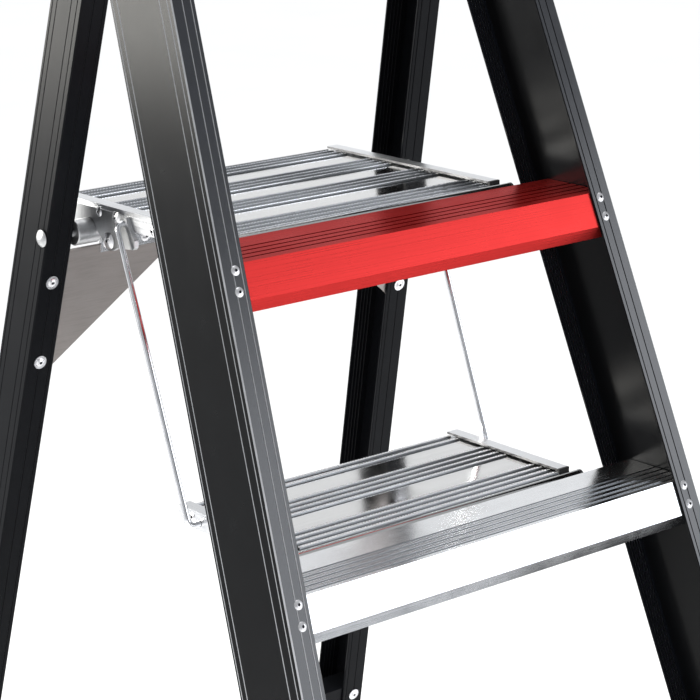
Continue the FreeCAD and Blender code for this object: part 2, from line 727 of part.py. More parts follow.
def make_bar(level, reach, cut_back, open_hole):
    """Right side bar; behind cut_back its wall is lowered to clear the rear cross-member."""
    nose = nose_axis(level)
    datum = nose.z + NOSE_DOWN
    start = nose.y + BAR_START
    parts = []
    full_end = nose.y + min(reach, cut_back)
    for foot, low, high in ((BAR_TOP - BAR_TALL, start, full_end),
                            (-BAR_LOW_WALL, full_end - 0.5, nose.y + reach)):
        if high - low < 1:
            continue
        ring = [Vector(x, low, datum + z) for x, z in bar_section(foot)]
        sheet = Part.Face(Part.makePolygon(ring + [ring[0]]))
        parts.append(sheet.extrude(Vector(0, high - low, 0)))
    bar = parts[0] if len(parts) == 1 else parts[0].fuse(parts[1:])
    foot_z = datum + BAR_TOP - BAR_TALL
    corner = across([(full_end - BAR_CORNER, foot_z - 1), (full_end + 0.01, foot_z - 1),
                     (full_end + 0.01, foot_z + BAR_CORNER)], BAR_OUT - BAR_WIDE - 1, BAR_OUT + 1)
    hole_r = ROD_OPEN_HOLE_R if open_hole else ROD_HOLE_R
    hole = rod_x(hole_r, BAR_OUT - 5, BAR_OUT + 5, nose.y + ROD_BACK, nose.z - ROD_DOWN)
    rivets = bar_rivets(level)
    if level == STEP_COUNT:
        rivets += HOOK_RIVETS
    bolts = [rod_x(RIVET_HOLE_R, BAR_OUT - 5, BAR_OUT + 5, nose.y + back, nose.z + up)
             for back, up in rivets]
    return bar.cut([corner, hole] + bolts).removeSplitter()


def bar_rivets(level):
    return UPPER_BAR_RIVETS if level == STEP_COUNT else LOWER_BAR_RIVETS


def make_bar_plugs(level):
    nose = nose_axis(level)
    datum = nose.z + NOSE_DOWN
    plug = box((BAR_OUT - BAR_WIDE + FIT, nose.y + PLUG_START, datum + BAR_TOP - PLUG_TALL),
               (BAR_OUT, nose.y + BAR_START - FIT, datum + BAR_TOP))
    front = [edge for edge in plug.Edges if edge.BoundBox.YMax < nose.y + PLUG_START + FIT]
    plug = plug.makeChamfer(PLUG_CHAMFER, front)
    return Part.makeCompound(both_sides([plug]))


def hook_outline():
    """Outline (y, z) of the hook plate, with the notch open downward and forward."""
    nose = nose_axis(STEP_COUNT)
    notch = STUD_R + HOOK_GAP
    slide = Vector(0, -0.57, -0.82)
    touch = Vector(0, STUD.y - 0.82 * notch, STUD.z + 0.57 * notch)
    lip = touch + slide * 7.0
    front = [(nose.y + back, nose.z + up) for back, up in HOOK_FRONT]
    rear_y = STUD.y + notch
    return front + [
        (lip.y - 3.2, lip.z - 2.4), (lip.y, lip.z), (touch.y, touch.z),
        (STUD.y - 0.4 * notch, STUD.z + 0.2), (rear_y, STUD.z - 0.1),
        (rear_y, STUD.z - 12.0), (rear_y + 6.0, STUD.z - 14.5),
        (rear_y + 12.0, STUD.z - 8.0), (rear_y + 13.0, nose.z - 10.5),
        (rear_y + 9.0, nose.z + 0.5), (rear_y + 2.0, nose.z + 4.5),
    ]


def make_hook_plate():
    """Plate on the side bar that carries the link rod's pin and hooks over the rest stud."""
    inner = BAR_OUT + FIT
    outer = inner + HOOK_THICK
    plate = across(hook_outline(), inner, outer)
    nose = nose_axis(STEP_COUNT)
    holes = [rod_x(STUD_R + HOOK_GAP, inner - 1, outer + 1, STUD.y, STUD.z),
             rod_x(ROD_HOLE_R, inner - 1, outer + 1, nose.y + ROD_BACK, nose.z - ROD_DOWN)]
    for back, up in HOOK_RIVETS + (STOP_RIVET,):
        holes.append(rod_x(RIVET_HOLE_R, inner - 1, outer + 1, nose.y + back, nose.z + up))
    return plate.cut(holes).removeSplitter()


def outward_rivet(level, stand, grip, at, head_r):
    """Rivet whose head lies on the plane x = stand; at is (behind, above) the nose axis."""
    nose = nose_axis(level)
    spot = Vector(stand + PROUD, nose.y + at[0], nose.z + at[1])
    return aimed(blind_rivet(grip, head_r), spot, Vector(1, 0, 0))


def platform_rivets(level):
    rivets = []
    for at in bar_rivets(level):
        rivets.append(outward_rivet(level, BAR_OUT, WALL, at, RIVET_HEAD_R))
    if level == STEP_COUNT:
        stand = BAR_OUT + FIT + HOOK_THICK
        for at, head_r in zip(HOOK_RIVETS, HOOK_HEADS):
            rivets.append(outward_rivet(level, stand, FIT + HOOK_THICK + WALL, at, head_r))
        rivets.append(outward_rivet(level, stand, HOOK_THICK, STOP_RIVET, STOP_HEAD_R))
    return Part.makeCompound(both_sides(rivets))


# ---- Nose hinges ----
EAR_IN_X = 160.0
EAR_OUT_X = 163.0
EAR_END_X = 182.0
EAR_BASE = 2.4
EAR_RISES = (-12.0, 20.0)
EAR_RIVET_X = 176.0
EAR_RIVET_RISE = 4.0


def ear_rivet_point(z, depth):
    spot = FRONT.side_frame(z).multVec(Vector(depth, 0, EAR_RIVET_RISE))
    return Vector(EAR_RIVET_X, spot.y, spot.z)


def make_hinge_ears(level):
    """Bent ears on the step's rear wall that hold the ends of the platform's hinge pin."""
    nose = nose_axis(level)
    frame = FRONT.side_frame(STEP_PITCH * level)
    local = frame.inverse().multVec(nose)
    wall = SPACER_FRONT
    low, high = EAR_RISES
    base = placed(box((wall, -EAR_END_X, low), (wall + EAR_BASE, -EAR_IN_X, high)), frame)
    ring = [Vector(wall, 0, low), Vector(wall, 0, high), Vector(local.x, 0, local.z + 4.0),
            Vector(local.x + 4.6, 0, local.z - 2), Vector(wall + 4, 0, low)]
    ear = Part.Face(Part.makePolygon(ring + [ring[0]])).extrude(Vector(0, EAR_OUT_X - EAR_IN_X, 0))
    eye = Part.makeCylinder(5.0, EAR_OUT_X - EAR_IN_X, Vector(local.x, 0, local.z), Vector(0, 1, 0))
    ear = placed(ear.fuse(eye), frame)
    ear.translate(Vector(EAR_OUT_X, 0, 0))
    bracket = base.fuse(ear).removeSplitter()
    rivet = ear_rivet_point(STEP_PITCH * level, wall - 6)
    cuts = [rod_x(PIN_HOLE_R, EAR_IN_X - 2, EAR_OUT_X + 2, nose.y, nose.z),
            Part.makeCylinder(RIVET_HOLE_R, 16, rivet, FRONT.back)]
    return Part.makeCompound(both_sides([bracket.cut(cuts)]))


def make_hinge_pin(level):
    nose = nose_axis(level)
    return rod_x(PIN_R, -EAR_OUT_X - 0.8, EAR_OUT_X + 0.8, nose.y, nose.z)


def make_bracket_rivets():
    """Rivets of the step spacers, the hinge ears and the main hinge brackets."""
    rivets = []
    for level in range(1, STEP_COUNT + 1):
        z = STEP_PITCH * level
        outer = rivet_point(z, REAR_RIVET_RISE, FRONT_DEPTH + PROUD)
        rivets.append(aimed(blind_rivet(FRONT_DEPTH - SPACER_REAR + WALL), outer, FRONT.back))
        inner = rivet_point(z, REAR_RIVET_RISE, SPACER_FRONT + WALL + PROUD)
        rivets.append(aimed(blind_rivet(2 * WALL + FIT, SMALL_HEAD_R), inner, FRONT.back))
    for level in PLATFORM_LEVELS:
        spot = ear_rivet_point(STEP_PITCH * level, SPACER_FRONT + EAR_BASE + PROUD)
        rivets.append(aimed(blind_rivet(EAR_BASE + WALL + FIT, SMALL_HEAD_R), spot, FRONT.back))
    stand = FRONT_DEPTH + FIT + BRACKET_PLATE
    for rise, inset in BRACKET_RIVETS:
        spot = bracket_point(rise, stand + PROUD, inset)
        grip = BRACKET_PLATE + WALL + RIB_TALL + FIT
        rivets.append(aimed(blind_rivet(grip), spot, FRONT.back))
    return Part.makeCompound(both_sides(rivets))


# ---- Link rods ----
def make_link_rod():
    """Round rod with both ends bent inward through the outer walls of the two side bars."""
    upper = nose_axis(STEP_COUNT) + Vector(0, ROD_BACK, -ROD_DOWN)
    lower = nose_axis(STEP_COUNT - 1) + Vector(0, ROD_BACK, -ROD_DOWN)
    down = (lower - upper).normalize()
    side = Vector(1, 0, 0)
    half = math.sqrt(0.5)
    points = []
    for pin, leave in ((upper, down), (lower, down * -1)):
        start = pin + side * ROD_INNER_X
        before = pin + side * (ROD_X - ROD_BEND)
        after = pin + side * ROD_X + leave * ROD_BEND
        centre = before + leave * ROD_BEND
        middle = centre + (side - leave) * (ROD_BEND * half)
        points.append((start, before, middle, after))
    first, second = points
    edges = [Part.LineSegment(first[0], first[1]).toShape(),
             Part.Arc(first[1], first[2], first[3]).toShape(),
             Part.LineSegment(first[3], second[3]).toShape(),
             Part.Arc(second[3], second[2], second[1]).toShape(),
             Part.LineSegment(second[1], second[0]).toShape()]
    path = Part.Wire(edges)
    section = Part.Wire(Part.makeCircle(ROD_R, first[0], side))
    return path.makePipeShell([section], True, False)


# ---- Feet ----
def oriented_block(rail, grow, z_low, z_high):
    section = [(-grow, -grow), (rail.depth + grow, -grow),
               (rail.depth + grow, rail.flange + grow), (-grow, rail.flange + grow)]
    return long_prism(rail, section, z_low, z_high)


def make_shoe(rail):
    """Moulded shoe that fills the channel and wraps the stile's end."""
    block = oriented_block(rail, SHOE_WALL, SOLE + 0.05, SHOE_TOP)
    socket = long_prism(rail, channel_section(rail, (), (), (), 0.15), STILE_BOTTOM_Z - 0.5,
                        SHOE_TOP + 5)
    relief = oriented_block(rail, -6.0, STILE_BOTTOM_Z + 22, SHOE_TOP + 5)
    return block.cut([socket, relief])


def make_sole(rail):
    """Rubber sole with cross grooves in its tread."""
    sole = oriented_block(rail, SHOE_WALL + 1.8, 0.0, SOLE)
    bounds = sole.BoundBox
    cuts = []
    count = int((bounds.YMax - bounds.YMin) // 11)
    pitch = (bounds.YMax - bounds.YMin) / (count + 1)
    for k in range(count):
        y = bounds.YMin + (k + 1) * pitch
        cuts.append(box((bounds.XMin - 1, y - 1.2, -1), (bounds.XMax + 1, y + 1.2, 2.2)))
    return sole.cut(cuts)


# ---- Top of the front frame ----
def tray_extent():
    """Tray shell limits: front y, rear y, underside z and rim z."""
    front = FRONT.corner(FRONT_TOP_Z).y + TRAY_FRONT
    floor = FRONT_TOP_Z + CAP_LID + 0.05
    return front, front + TRAY_DEEP, floor, floor + TRAY_TALL


def make_stile_cap():
    """Plug and collar on the stile's top end; its flat top carries the tool tray."""
    low = FRONT_TOP_Z - CAP_TALL
    block = oriented_block(FRONT, SHOE_WALL, low, FRONT_TOP_Z + CAP_LID)
    socket = long_prism(FRONT, channel_section(FRONT, (), (), (), 0.15), low - 5,
                        FRONT_TOP_Z + 0.2)
    cap = block.cut(socket)
    return cap.cut([Part.makeCylinder(2.1, 30, Vector(x, y, FRONT_TOP_Z - 20), Vector(0, 0, 1))
                    for x, y in tray_screw_spots()])


def tray_screw_spots():
    corner = FRONT.corner(FRONT_TOP_Z)
    x = corner.x - 12.0
    return ((x, corner.y + 36.0), (x, corner.y + 68.0))


def rounded_block(half_x, y_low, y_high, z_low, z_high, corner):
    block = box((-half_x, y_low, z_low), (half_x, y_high, z_high))
    uprights = [e for e in block.Edges if abs(e.BoundBox.ZMax - e.BoundBox.ZMin) > 1]
    return block.makeFillet(corner, uprights)


def make_tool_tray():
    """Open tray with rounded corners and a thick rim."""
    y_low, y_high, z_low, z_high = tray_extent()
    wall = TRAY_WALL
    body = rounded_block(TRAY_HALF, y_low, y_high, z_low, z_high, TRAY_CORNER)
    rim = rounded_block(TRAY_HALF + 5, y_low - 5, y_high + 5, z_high - 8, z_high, TRAY_CORNER + 5)
    inside = rounded_block(TRAY_HALF - wall, y_low + wall, y_high - wall, z_low + wall,
                           z_high + 1, TRAY_CORNER - wall)
    screws = [Part.makeCylinder(2.4, 12, Vector(x, y, z_low - 2), Vector(0, 0, 1))
              for x, y in tray_screw_spots()]
    return body.fuse(rim).cut([inside] + both_sides(screws)).removeSplitter()


def make_tray_insert():
    """T-shaped insert: a long front trough wall and a divider behind it."""
    y_low, y_high, z_low, z_high = tray_extent()
    gap = TRAY_WALL + 0.3
    trough_y = y_low + TROUGH
    half = TRAY_HALF - gap
    wall = box((-half, trough_y - TRAY_WALL, z_low + gap), (half, trough_y, z_high - 12))
    divider = box((-TRAY_WALL / 2, trough_y - 1, z_low + gap),
                  (TRAY_WALL / 2, y_high - gap, z_high - 12))
    return wall.fuse(divider).removeSplitter()


def make_tray_screws():
    z = tray_extent()[2] + TRAY_WALL
    screws = []
    for x, y in tray_screw_spots():
        head = dome(4.5, 2.4)
        shank = Part.makeCylinder(2.0, 18, Vector(0, 0, -17.9))
        cross = [box((-2.2, -0.45, 1.2), (2.2, 0.45, 3)), box((-0.45, -2.2, 1.2), (0.45, 2.2, 3))]
        screw = head.cut(cross).fuse(shank).removeSplitter()
        screw.translate(Vector(x, y, z + PROUD))
        screws.append(screw)
    return Part.makeCompound(both_sides(screws))


# ---- Build ----
def paired(name, shape):
    for side_name, side in SIDES.items():
        save(name + "_" + side_name, for_side(shape, side))


def build_front_frame():
    paired("front_stile", make_front_stile())
    for level in range(1, STEP_COUNT - 1):
        save("step_%d" % level, make_step(level, SILVER_GROOVES))
    save("lower_step", make_step(STEP_COUNT - 1, SILVER_GROOVES))
    save("red_step", make_step(STEP_COUNT, RED_GROOVES))
    spacers = [make_spacer(level) for level in range(1, STEP_COUNT + 1)]
    save("step_spacers", Part.makeCompound(both_sides(spacers)))
    save("step_rivets", make_step_rivets())
    save("bracket_rivets", make_bracket_rivets())
    paired("front_shoe", make_shoe(FRONT))
    paired("front_sole", make_sole(FRONT))
    paired("stile_cap", make_stile_cap())
    save("tool_tray", make_tool_tray())
    save("tray_insert", make_tray_insert())
    save("tray_screws", make_tray_screws())
    paired("hinge_bracket", make_hinge_bracket())
    save("hinge_bolts", Part.makeCompound(both_sides([make_hinge_bolt()])))
    save("hinge_nuts", Part.makeCompound(both_sides([make_hinge_nut()])))
    save("hinge_washers", Part.makeCompound(both_sides([make_hinge_washer()])))
    save("upper_hinge_ears", make_hinge_ears(STEP_COUNT))
    save("lower_hinge_ears", make_hinge_ears(STEP_COUNT - 1))
    save("upper_hinge_pin", make_hinge_pin(STEP_COUNT))
    save("lower_hinge_pin", make_hinge_pin(STEP_COUNT - 1))


def build_rear_frame():
    paired("rear_stile", make_rear_stile())
    save("upper_cross_member", make_upper_cross_member())
    paired("gusset", make_gusset())
    save("middle_cross_member", make_lower_cross_member(0))
    save("bottom_cross_member", make_lower_cross_member(1))
    save("rear_rivets", make_rear_rivets())
    paired("rest_stud", make_rest_stud())
    paired("rear_shoe", make_shoe(REAR))
    paired("rear_sole", make_sole(REAR))


def build_platforms():
    for level, planks in ((STEP_COUNT, UPPER_PLANKS), (STEP_COUNT - 1, LOWER_PLANKS)):
        for name, start, end, ribs, webs, foot in planks:
            plank = make_plank(level, start, end, ribs, webs, foot,
                               bead=start < 10, rear_lip=name.endswith("rear"))
            save(name, plank)
    paired("upper_bar", make_bar(STEP_COUNT, UPPER_REACH, BAR_CUT_BACK, False))
    paired("lower_bar", make_bar(STEP_COUNT - 1, LOWER_REACH, LOWER_REACH, True))
    save("upper_bar_plugs", make_bar_plugs(STEP_COUNT))
    save("lower_bar_plugs", make_bar_plugs(STEP_COUNT - 1))
    paired("hook_plate", make_hook_plate())
    save("upper_platform_rivets", platform_rivets(STEP_COUNT))
    save("lower_platform_rivets", platform_rivets(STEP_COUNT - 1))


def main():
    os.makedirs("parts", exist_ok=True)
    build_front_frame()
    build_rear_frame()
    build_platforms()
    paired("link_rod", make_link_rod())


main()
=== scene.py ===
import math
import random

import bmesh
import bpy
from mathutils import Matrix, Vector


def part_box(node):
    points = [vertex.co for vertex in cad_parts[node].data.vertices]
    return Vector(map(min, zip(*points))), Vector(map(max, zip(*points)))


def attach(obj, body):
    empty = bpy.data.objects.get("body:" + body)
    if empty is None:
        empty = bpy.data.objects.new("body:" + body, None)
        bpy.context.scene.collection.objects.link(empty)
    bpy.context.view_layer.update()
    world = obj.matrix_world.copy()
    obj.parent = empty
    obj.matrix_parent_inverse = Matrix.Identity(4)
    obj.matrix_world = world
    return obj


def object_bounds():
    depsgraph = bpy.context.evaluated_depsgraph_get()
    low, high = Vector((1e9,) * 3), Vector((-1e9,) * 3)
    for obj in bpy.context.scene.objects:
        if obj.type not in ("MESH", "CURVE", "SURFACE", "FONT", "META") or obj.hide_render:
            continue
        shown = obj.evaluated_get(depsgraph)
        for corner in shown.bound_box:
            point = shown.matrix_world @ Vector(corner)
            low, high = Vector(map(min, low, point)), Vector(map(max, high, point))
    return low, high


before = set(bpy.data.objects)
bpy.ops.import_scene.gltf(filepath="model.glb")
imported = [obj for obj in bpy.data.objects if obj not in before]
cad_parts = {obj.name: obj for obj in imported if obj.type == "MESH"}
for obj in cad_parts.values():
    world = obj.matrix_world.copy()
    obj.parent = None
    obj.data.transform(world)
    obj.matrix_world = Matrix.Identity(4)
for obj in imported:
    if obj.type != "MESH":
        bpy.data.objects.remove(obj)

random.seed(7)
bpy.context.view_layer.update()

MM = 0.001

# ---- Places read from the frame ----
FRONT_LEAN = math.atan(0.3737)      # stiles from the upright, run over rise
REAR_LEAN = -math.atan(0.2438)
DECK_ABOVE_PIN = 3.7 * MM

step_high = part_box("red_step")[1]
object_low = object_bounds()[0]


def middle_of(name):
    low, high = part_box(name)
    return (low + high) / 2


def deck_height(pin):
    """Top face of a platform's planks, under the ribs."""
    return middle_of(pin).z + DECK_ABOVE_PIN


# ---- Camera: the photograph's viewing angle ----
CAMERA_FROM_STEP = Vector((-1.2742, -1.5285, 0.4382))   # from the red step's rear top edge
CAMERA_YAW = math.radians(39.27)
CAMERA_PITCH = math.radians(15.61)
CAMERA_ROLL = math.radians(-0.784)
CAMERA_LENS = 126.5
CAMERA_SENSOR = 36.0
CAMERA_CLIP = (0.05, 60.0)


def make_camera():
    data = bpy.data.cameras.new("camera")
    data.lens = CAMERA_LENS
    data.sensor_width = CAMERA_SENSOR
    data.clip_start, data.clip_end = CAMERA_CLIP
    camera = bpy.data.objects.new("camera", data)
    bpy.context.scene.collection.objects.link(camera)
    place = Vector((0.0, step_high.y, step_high.z)) + CAMERA_FROM_STEP
    turn = (Matrix.Rotation(-CAMERA_YAW, 4, "Z")
            @ Matrix.Rotation(math.pi / 2 - CAMERA_PITCH, 4, "X")
            @ Matrix.Rotation(CAMERA_ROLL, 4, "Z"))
    camera.matrix_world = Matrix.Translation(place) @ turn
    bpy.context.scene.camera = camera


# ---- Materials ----
class Shader:
    """A node material with a Principled shader and small helpers to build detail."""

    def __init__(self, name, **sockets):
        self.material = bpy.data.materials.new(name)
        self.material.use_nodes = True
        self.nodes = self.material.node_tree.nodes
        self.links = self.material.node_tree.links
        self.bsdf = self.nodes["Principled BSDF"]
        for socket, value in sockets.items():
            self.bsdf.inputs[socket.replace("_", " ")].default_value = value
        self.coords = self.nodes.new("ShaderNodeTexCoord").outputs["Object"]

    def mapped(self, scale=(1, 1, 1), rotation=(0, 0, 0)):
        node = self.nodes.new("ShaderNodeMapping")
        node.inputs["Scale"].default_value = scale
        node.inputs["Rotation"].default_value = rotation
        self.links.new(self.coords, node.inputs["Vector"])
        return node.outputs["Vector"]

    def noise(self, vector, scale, detail, roughness=0.55):
        node = self.nodes.new("ShaderNodeTexNoise")
        node.inputs["Scale"].default_value = scale
        node.inputs["Detail"].default_value = detail
        node.inputs["Roughness"].default_value = roughness
        self.links.new(vector, node.inputs["Vector"])
        return node.outputs["Fac"]

    def cells(self, vector, scale):
        node = self.nodes.new("ShaderNodeTexVoronoi")
        node.inputs["Scale"].default_value = scale
        self.links.new(vector, node.inputs["Vector"])
        return node.outputs["Distance"]

    def spread(self, value, low, high, to_low, to_high):
        node = self.nodes.new("ShaderNodeMapRange")
        node.inputs["From Min"].default_value = low
        node.inputs["From Max"].default_value = high
        node.inputs["To Min"].default_value = to_low
        node.inputs["To Max"].default_value = to_high
        self.links.new(value, node.inputs["Value"])
        return node.outputs["Result"]

    def added(self, first, second):
        node = self.nodes.new("ShaderNodeMath")
        node.operation = "ADD"
        self.links.new(first, node.inputs[0])
        self.links.new(second, node.inputs[1])
        return node.outputs["Value"]

    def ramp(self, value, stops):
        node = self.nodes.new("ShaderNodeValToRGB")
        band = node.color_ramp
        while len(band.elements) < len(stops):
            band.elements.new(0.5)
        for element, (at, colour) in zip(band.elements, stops):
            element.position = at
            element.color = (*colour, 1.0)
        self.links.new(value, node.inputs["Fac"])
        return node.outputs["Color"]

    def colour(self, output):
        self.links.new(output, self.bsdf.inputs["Base Color"])

    def roughness(self, output):
        self.links.new(output, self.bsdf.inputs["Roughness"])

    def bump(self, height, distance, strength):
        node = self.nodes.new("ShaderNodeBump")
        node.inputs["Distance"].default_value = distance
        node.inputs["Strength"].default_value = strength
        self.links.new(height, node.inputs["Height"])
        self.links.new(node.outputs["Normal"], self.bsdf.inputs["Normal"])


def scaled(colour, factor):
    return tuple(min(1.0, channel * factor) for channel in colour)


def tones(colour, dark, middle, bright):
    """Stops of a ramp around a colour; dark and bright are (position, factor)."""
    low, low_factor = dark
    high, high_factor = bright
    return [(low, scaled(colour, low_factor)), (middle, colour), (high, scaled(colour, high_factor))]


def extruded_metal(name, colour, rough, axis_scale, swing=0.10, metallic=1.0, tint=(1, 1, 1)):
    """Drawn or extruded metal: fine lines along the draw direction, faint handling marks."""
    shader = Shader(name, Metallic=metallic, Specular_Tint=(*tint, 1.0))
    lines = shader.noise(shader.mapped(axis_scale), 1.0, 4.0, 0.6)
    marks = shader.noise(shader.mapped((9, 9, 9)), 3.0, 6.0, 0.65)
    shader.colour(shader.ramp(lines, tones(colour, (0.25, 0.86), 0.5, (0.8, 1.08))))
    fine = shader.spread(lines, 0.3, 0.7, rough - swing / 2, rough + swing / 2)
    broad = shader.spread(marks, 0.35, 0.7, -0.03, 0.05)
    shader.roughness(shader.added(fine, broad))
    shader.bump(lines, 0.00002, 0.6)
    return shader.material


def coated_metal(name, colour, rough, rotation, shine=0.06):
    """Satin powder coat over an extrusion: orange peel, faint draw lines and dust."""
    shader = Shader(name, IOR=1.5, Specular_IOR_Level=shine)
    lines = shader.noise(shader.mapped((380, 380, 3), rotation), 1.0, 3.0, 0.5)
    peel = shader.noise(shader.mapped(), 900.0, 2.0, 0.5)
    dust = shader.noise(shader.mapped((14, 14, 14)), 2.0, 8.0, 0.7)
    shader.colour(shader.ramp(dust, tones(colour, (0.3, 0.85), 0.62, (0.85, 1.5))))
    fine = shader.spread(lines, 0.3, 0.7, rough - 0.01, rough + 0.01)
    broad = shader.spread(dust, 0.3, 0.8, -0.01, 0.03)
    shader.roughness(shader.added(fine, broad))
    shader.bump(peel, 0.000008, 0.6)
    return shader.material


def moulded_plastic(name, colour, rough, grain, depth=0.00008):
    """Moulded plastic or rubber with a leathered grain and scuffs."""
    shader = Shader(name, IOR=1.48)
    pebbles = shader.cells(shader.mapped(), grain)
    scuffs = shader.noise(shader.mapped((11, 11, 11)), 4.0, 7.0, 0.7)
    shader.colour(shader.ramp(scuffs, tones(colour, (0.3, 0.8), 0.6, (0.85, 1.6))))
    shader.roughness(shader.spread(scuffs, 0.3, 0.8, rough - 0.06, rough + 0.10))
    shader.bump(pebbles, depth, 0.6)
    return shader.material


def plated_steel(name, colour, rough, scale=60.0):
    """Zinc plate: soft mottling with small bright and dull patches."""
    shader = Shader(name, Metallic=1.0)
    clouds = shader.noise(shader.mapped(), scale, 4.0, 0.6)
    grain = shader.noise(shader.mapped(), scale * 22, 2.0, 0.5)
    shader.colour(shader.ramp(clouds, tones(colour, (0.3, 0.85), 0.55, (0.8, 1.1))))
    shader.roughness(shader.spread(clouds, 0.3, 0.75, rough - 0.05, rough + 0.08))
    shader.bump(grain, 0.00001, 0.4)
    return shader.material


ALONG_X = (3, 1400, 1400)           # noise scales that draw fine lines along one axis
ALONG_Y = (1400, 3, 1400)

materials = {
    "front_black": coated_metal("front_black", (0.005, 0.0053, 0.006), 0.22, (FRONT_LEAN, 0, 0)),
    # painted sheen: a lighter, bluer and shinier copy of the black coat for the stile's front-facing
    # faces
    "front_flange_painted_sheen": coated_metal("front_flange_painted_sheen", (0.010, 0.012, 0.017), 0.24, (FRONT_LEAN, 0, 0),
                                 shine=0.68),
    "rear_black": coated_metal("rear_black", (0.006, 0.0065, 0.008), 0.30, (REAR_LEAN, 0, 0)),
    "red_anodised": extruded_metal("red_anodised", (0.56, 0.034, 0.032), 0.30, ALONG_X,
                                   metallic=0.75, tint=(0.45, 0.04, 0.05)),
    "tread_aluminium": extruded_metal("tread_aluminium", (0.80, 0.81, 0.83), 0.2, ALONG_X, swing=0.08),
    "deck_aluminium": extruded_metal("deck_aluminium", (0.66, 0.66, 0.66), 0.13, ALONG_X, swing=0.06),
    "bar_aluminium": extruded_metal("bar_aluminium", (0.78, 0.79, 0.81), 0.32, ALONG_Y),
    "plate_aluminium": extruded_metal("plate_aluminium", (0.46, 0.465, 0.475), 0.38, (300, 900, 60)),
    # painted shade: the gussets under the platform get a dark warm grey for aluminium in shadow
    "gusset_metal": extruded_metal("gusset_metal", (0.30, 0.275, 0.262), 0.46, (40, 500, 700)),
    "zinc": plated_steel("zinc", (0.80, 0.81, 0.84), 0.13),
    # painted shade: dark grey metal for the deck rib flanks and the walls of the silver steps' grooves
    "painted_shade_flank": extruded_metal("painted_shade_flank", (0.19, 0.20, 0.21), 0.35, ALONG_X),
    "tooth_aluminium": extruded_metal("tooth_aluminium", (0.88, 0.89, 0.93), 0.22, ALONG_X),
    "bright_teeth": extruded_metal("bright_teeth", (0.93, 0.94, 0.97), 0.5, ALONG_X),
    "tread_teeth": extruded_metal("tread_teeth", (0.46, 0.47, 0.49), 0.24, ALONG_X),
    # painted highlight: light grey metal for the front stiles' groove flanks and corner chamfers
    "groove_painted_highlight": extruded_metal("groove_painted_highlight", (0.62, 0.63, 0.65), 0.36, (300, 300, 4)),
    "shadowed_metal": extruded_metal("shadowed_metal", (0.13, 0.13, 0.135), 0.5, ALONG_Y),
    # painted shade: a dark red for the groove walls of the red step
    "groove_red_shade": extruded_metal("groove_red_shade", (0.16, 0.002, 0.003), 0.4, ALONG_X,
                                 tint=(0.2, 0.01, 0.01)),
    # painted shade: near-black steel for the middle of the rivet heads
    "rivet_bore_shade": plated_steel("rivet_bore_shade", (0.03, 0.03, 0.035), 0.5, 300.0),
    "rivet_steel": plated_steel("rivet_steel", (0.76, 0.76, 0.78), 0.28, 220.0),
    "dark_steel": moulded_plastic("dark_steel", (0.02, 0.02, 0.022), 0.42, 900.0, 0.00003),
    "black_plastic": moulded_plastic("black_plastic", (0.018, 0.018, 0.019), 0.50, 1100.0),
    "tray_plastic": moulded_plastic("tray_plastic", (0.024, 0.024, 0.026), 0.46, 900.0),
    "white_nylon": moulded_plastic("white_nylon", (0.75, 0.74, 0.70), 0.40, 1400.0, 0.00002),
    "sole_rubber": moulded_plastic("sole_rubber", (0.035, 0.035, 0.035), 0.75, 700.0, 0.0001),
}

NODE_MATERIALS = (
    ("front_stile", "front_black"), ("rear_stile", "rear_black"), ("red_step", "red_anodised"),
    ("step_rivets", "rivet_steel"), ("bracket_rivets", "rivet_steel"),
    ("rear_rivets", "rivet_steel"), ("upper_platform_rivets", "rivet_steel"),
    ("lower_platform_rivets", "rivet_steel"), ("step_spacers", "plate_aluminium"),
    ("step_", "tread_aluminium"), ("lower_step", "tread_aluminium"),
    ("upper_plank", "deck_aluminium"), ("lower_plank", "deck_aluminium"),
    ("upper_bar_plugs", "black_plastic"), ("lower_bar_plugs", "black_plastic"),
    ("upper_bar", "bar_aluminium"), ("lower_bar", "bar_aluminium"),
    ("upper_cross_member", "tread_aluminium"), ("middle_cross_member", "rear_black"),
    ("bottom_cross_member", "rear_black"), ("gusset", "gusset_metal"),
    ("rest_stud", "plate_aluminium"), ("hook_plate", "plate_aluminium"),
    ("upper_hinge_ears", "plate_aluminium"), ("lower_hinge_ears", "plate_aluminium"),
    ("upper_hinge_pin", "zinc"), ("lower_hinge_pin", "zinc"), ("link_rod", "zinc"),
    ("hinge_bracket", "dark_steel"), ("hinge_bolts", "zinc"), ("hinge_nuts", "zinc"),
    ("hinge_washers", "white_nylon"), ("tray_screws", "zinc"), ("tool_tray", "tray_plastic"),
    ("tray_insert", "tray_plastic"), ("stile_cap", "black_plastic"),
    ("front_shoe", "black_plastic"), ("rear_shoe", "black_plastic"),
    ("front_sole", "sole_rubber"), ("rear_sole", "sole_rubber"),
)


def dress_cad_nodes():
    for name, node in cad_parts.items():
        chosen = next(material for start, material in NODE_MATERIALS if name.startswith(start))
        node.data.materials.clear()
        node.data.materials.append(materials[chosen])


# ---- Painted shade and highlights on some faces of the CAD parts ----
SILVER_STEPS = ("lower_step", "step_3", "step_2", "step_1")
SIDE_BARS = ("upper_bar_left", "upper_bar_right", "lower_bar_left", "lower_bar_right")
FRONT_OUT = Vector((0, -math.cos(FRONT_LEAN), math.sin(FRONT_LEAN)))
REAR_OUT = Vector((0, -math.cos(REAR_LEAN), math.sin(REAR_LEAN)))
SIDE_OUT = Vector((1, 0, 0))

# how far a face's unit normal points along a direction
UPRIGHT = 0.6
SQUARE_ON = 0.9
FACE_ON = 0.97
SLANTED = (0.3, 0.95)
TURNED_AWAY = -0.3

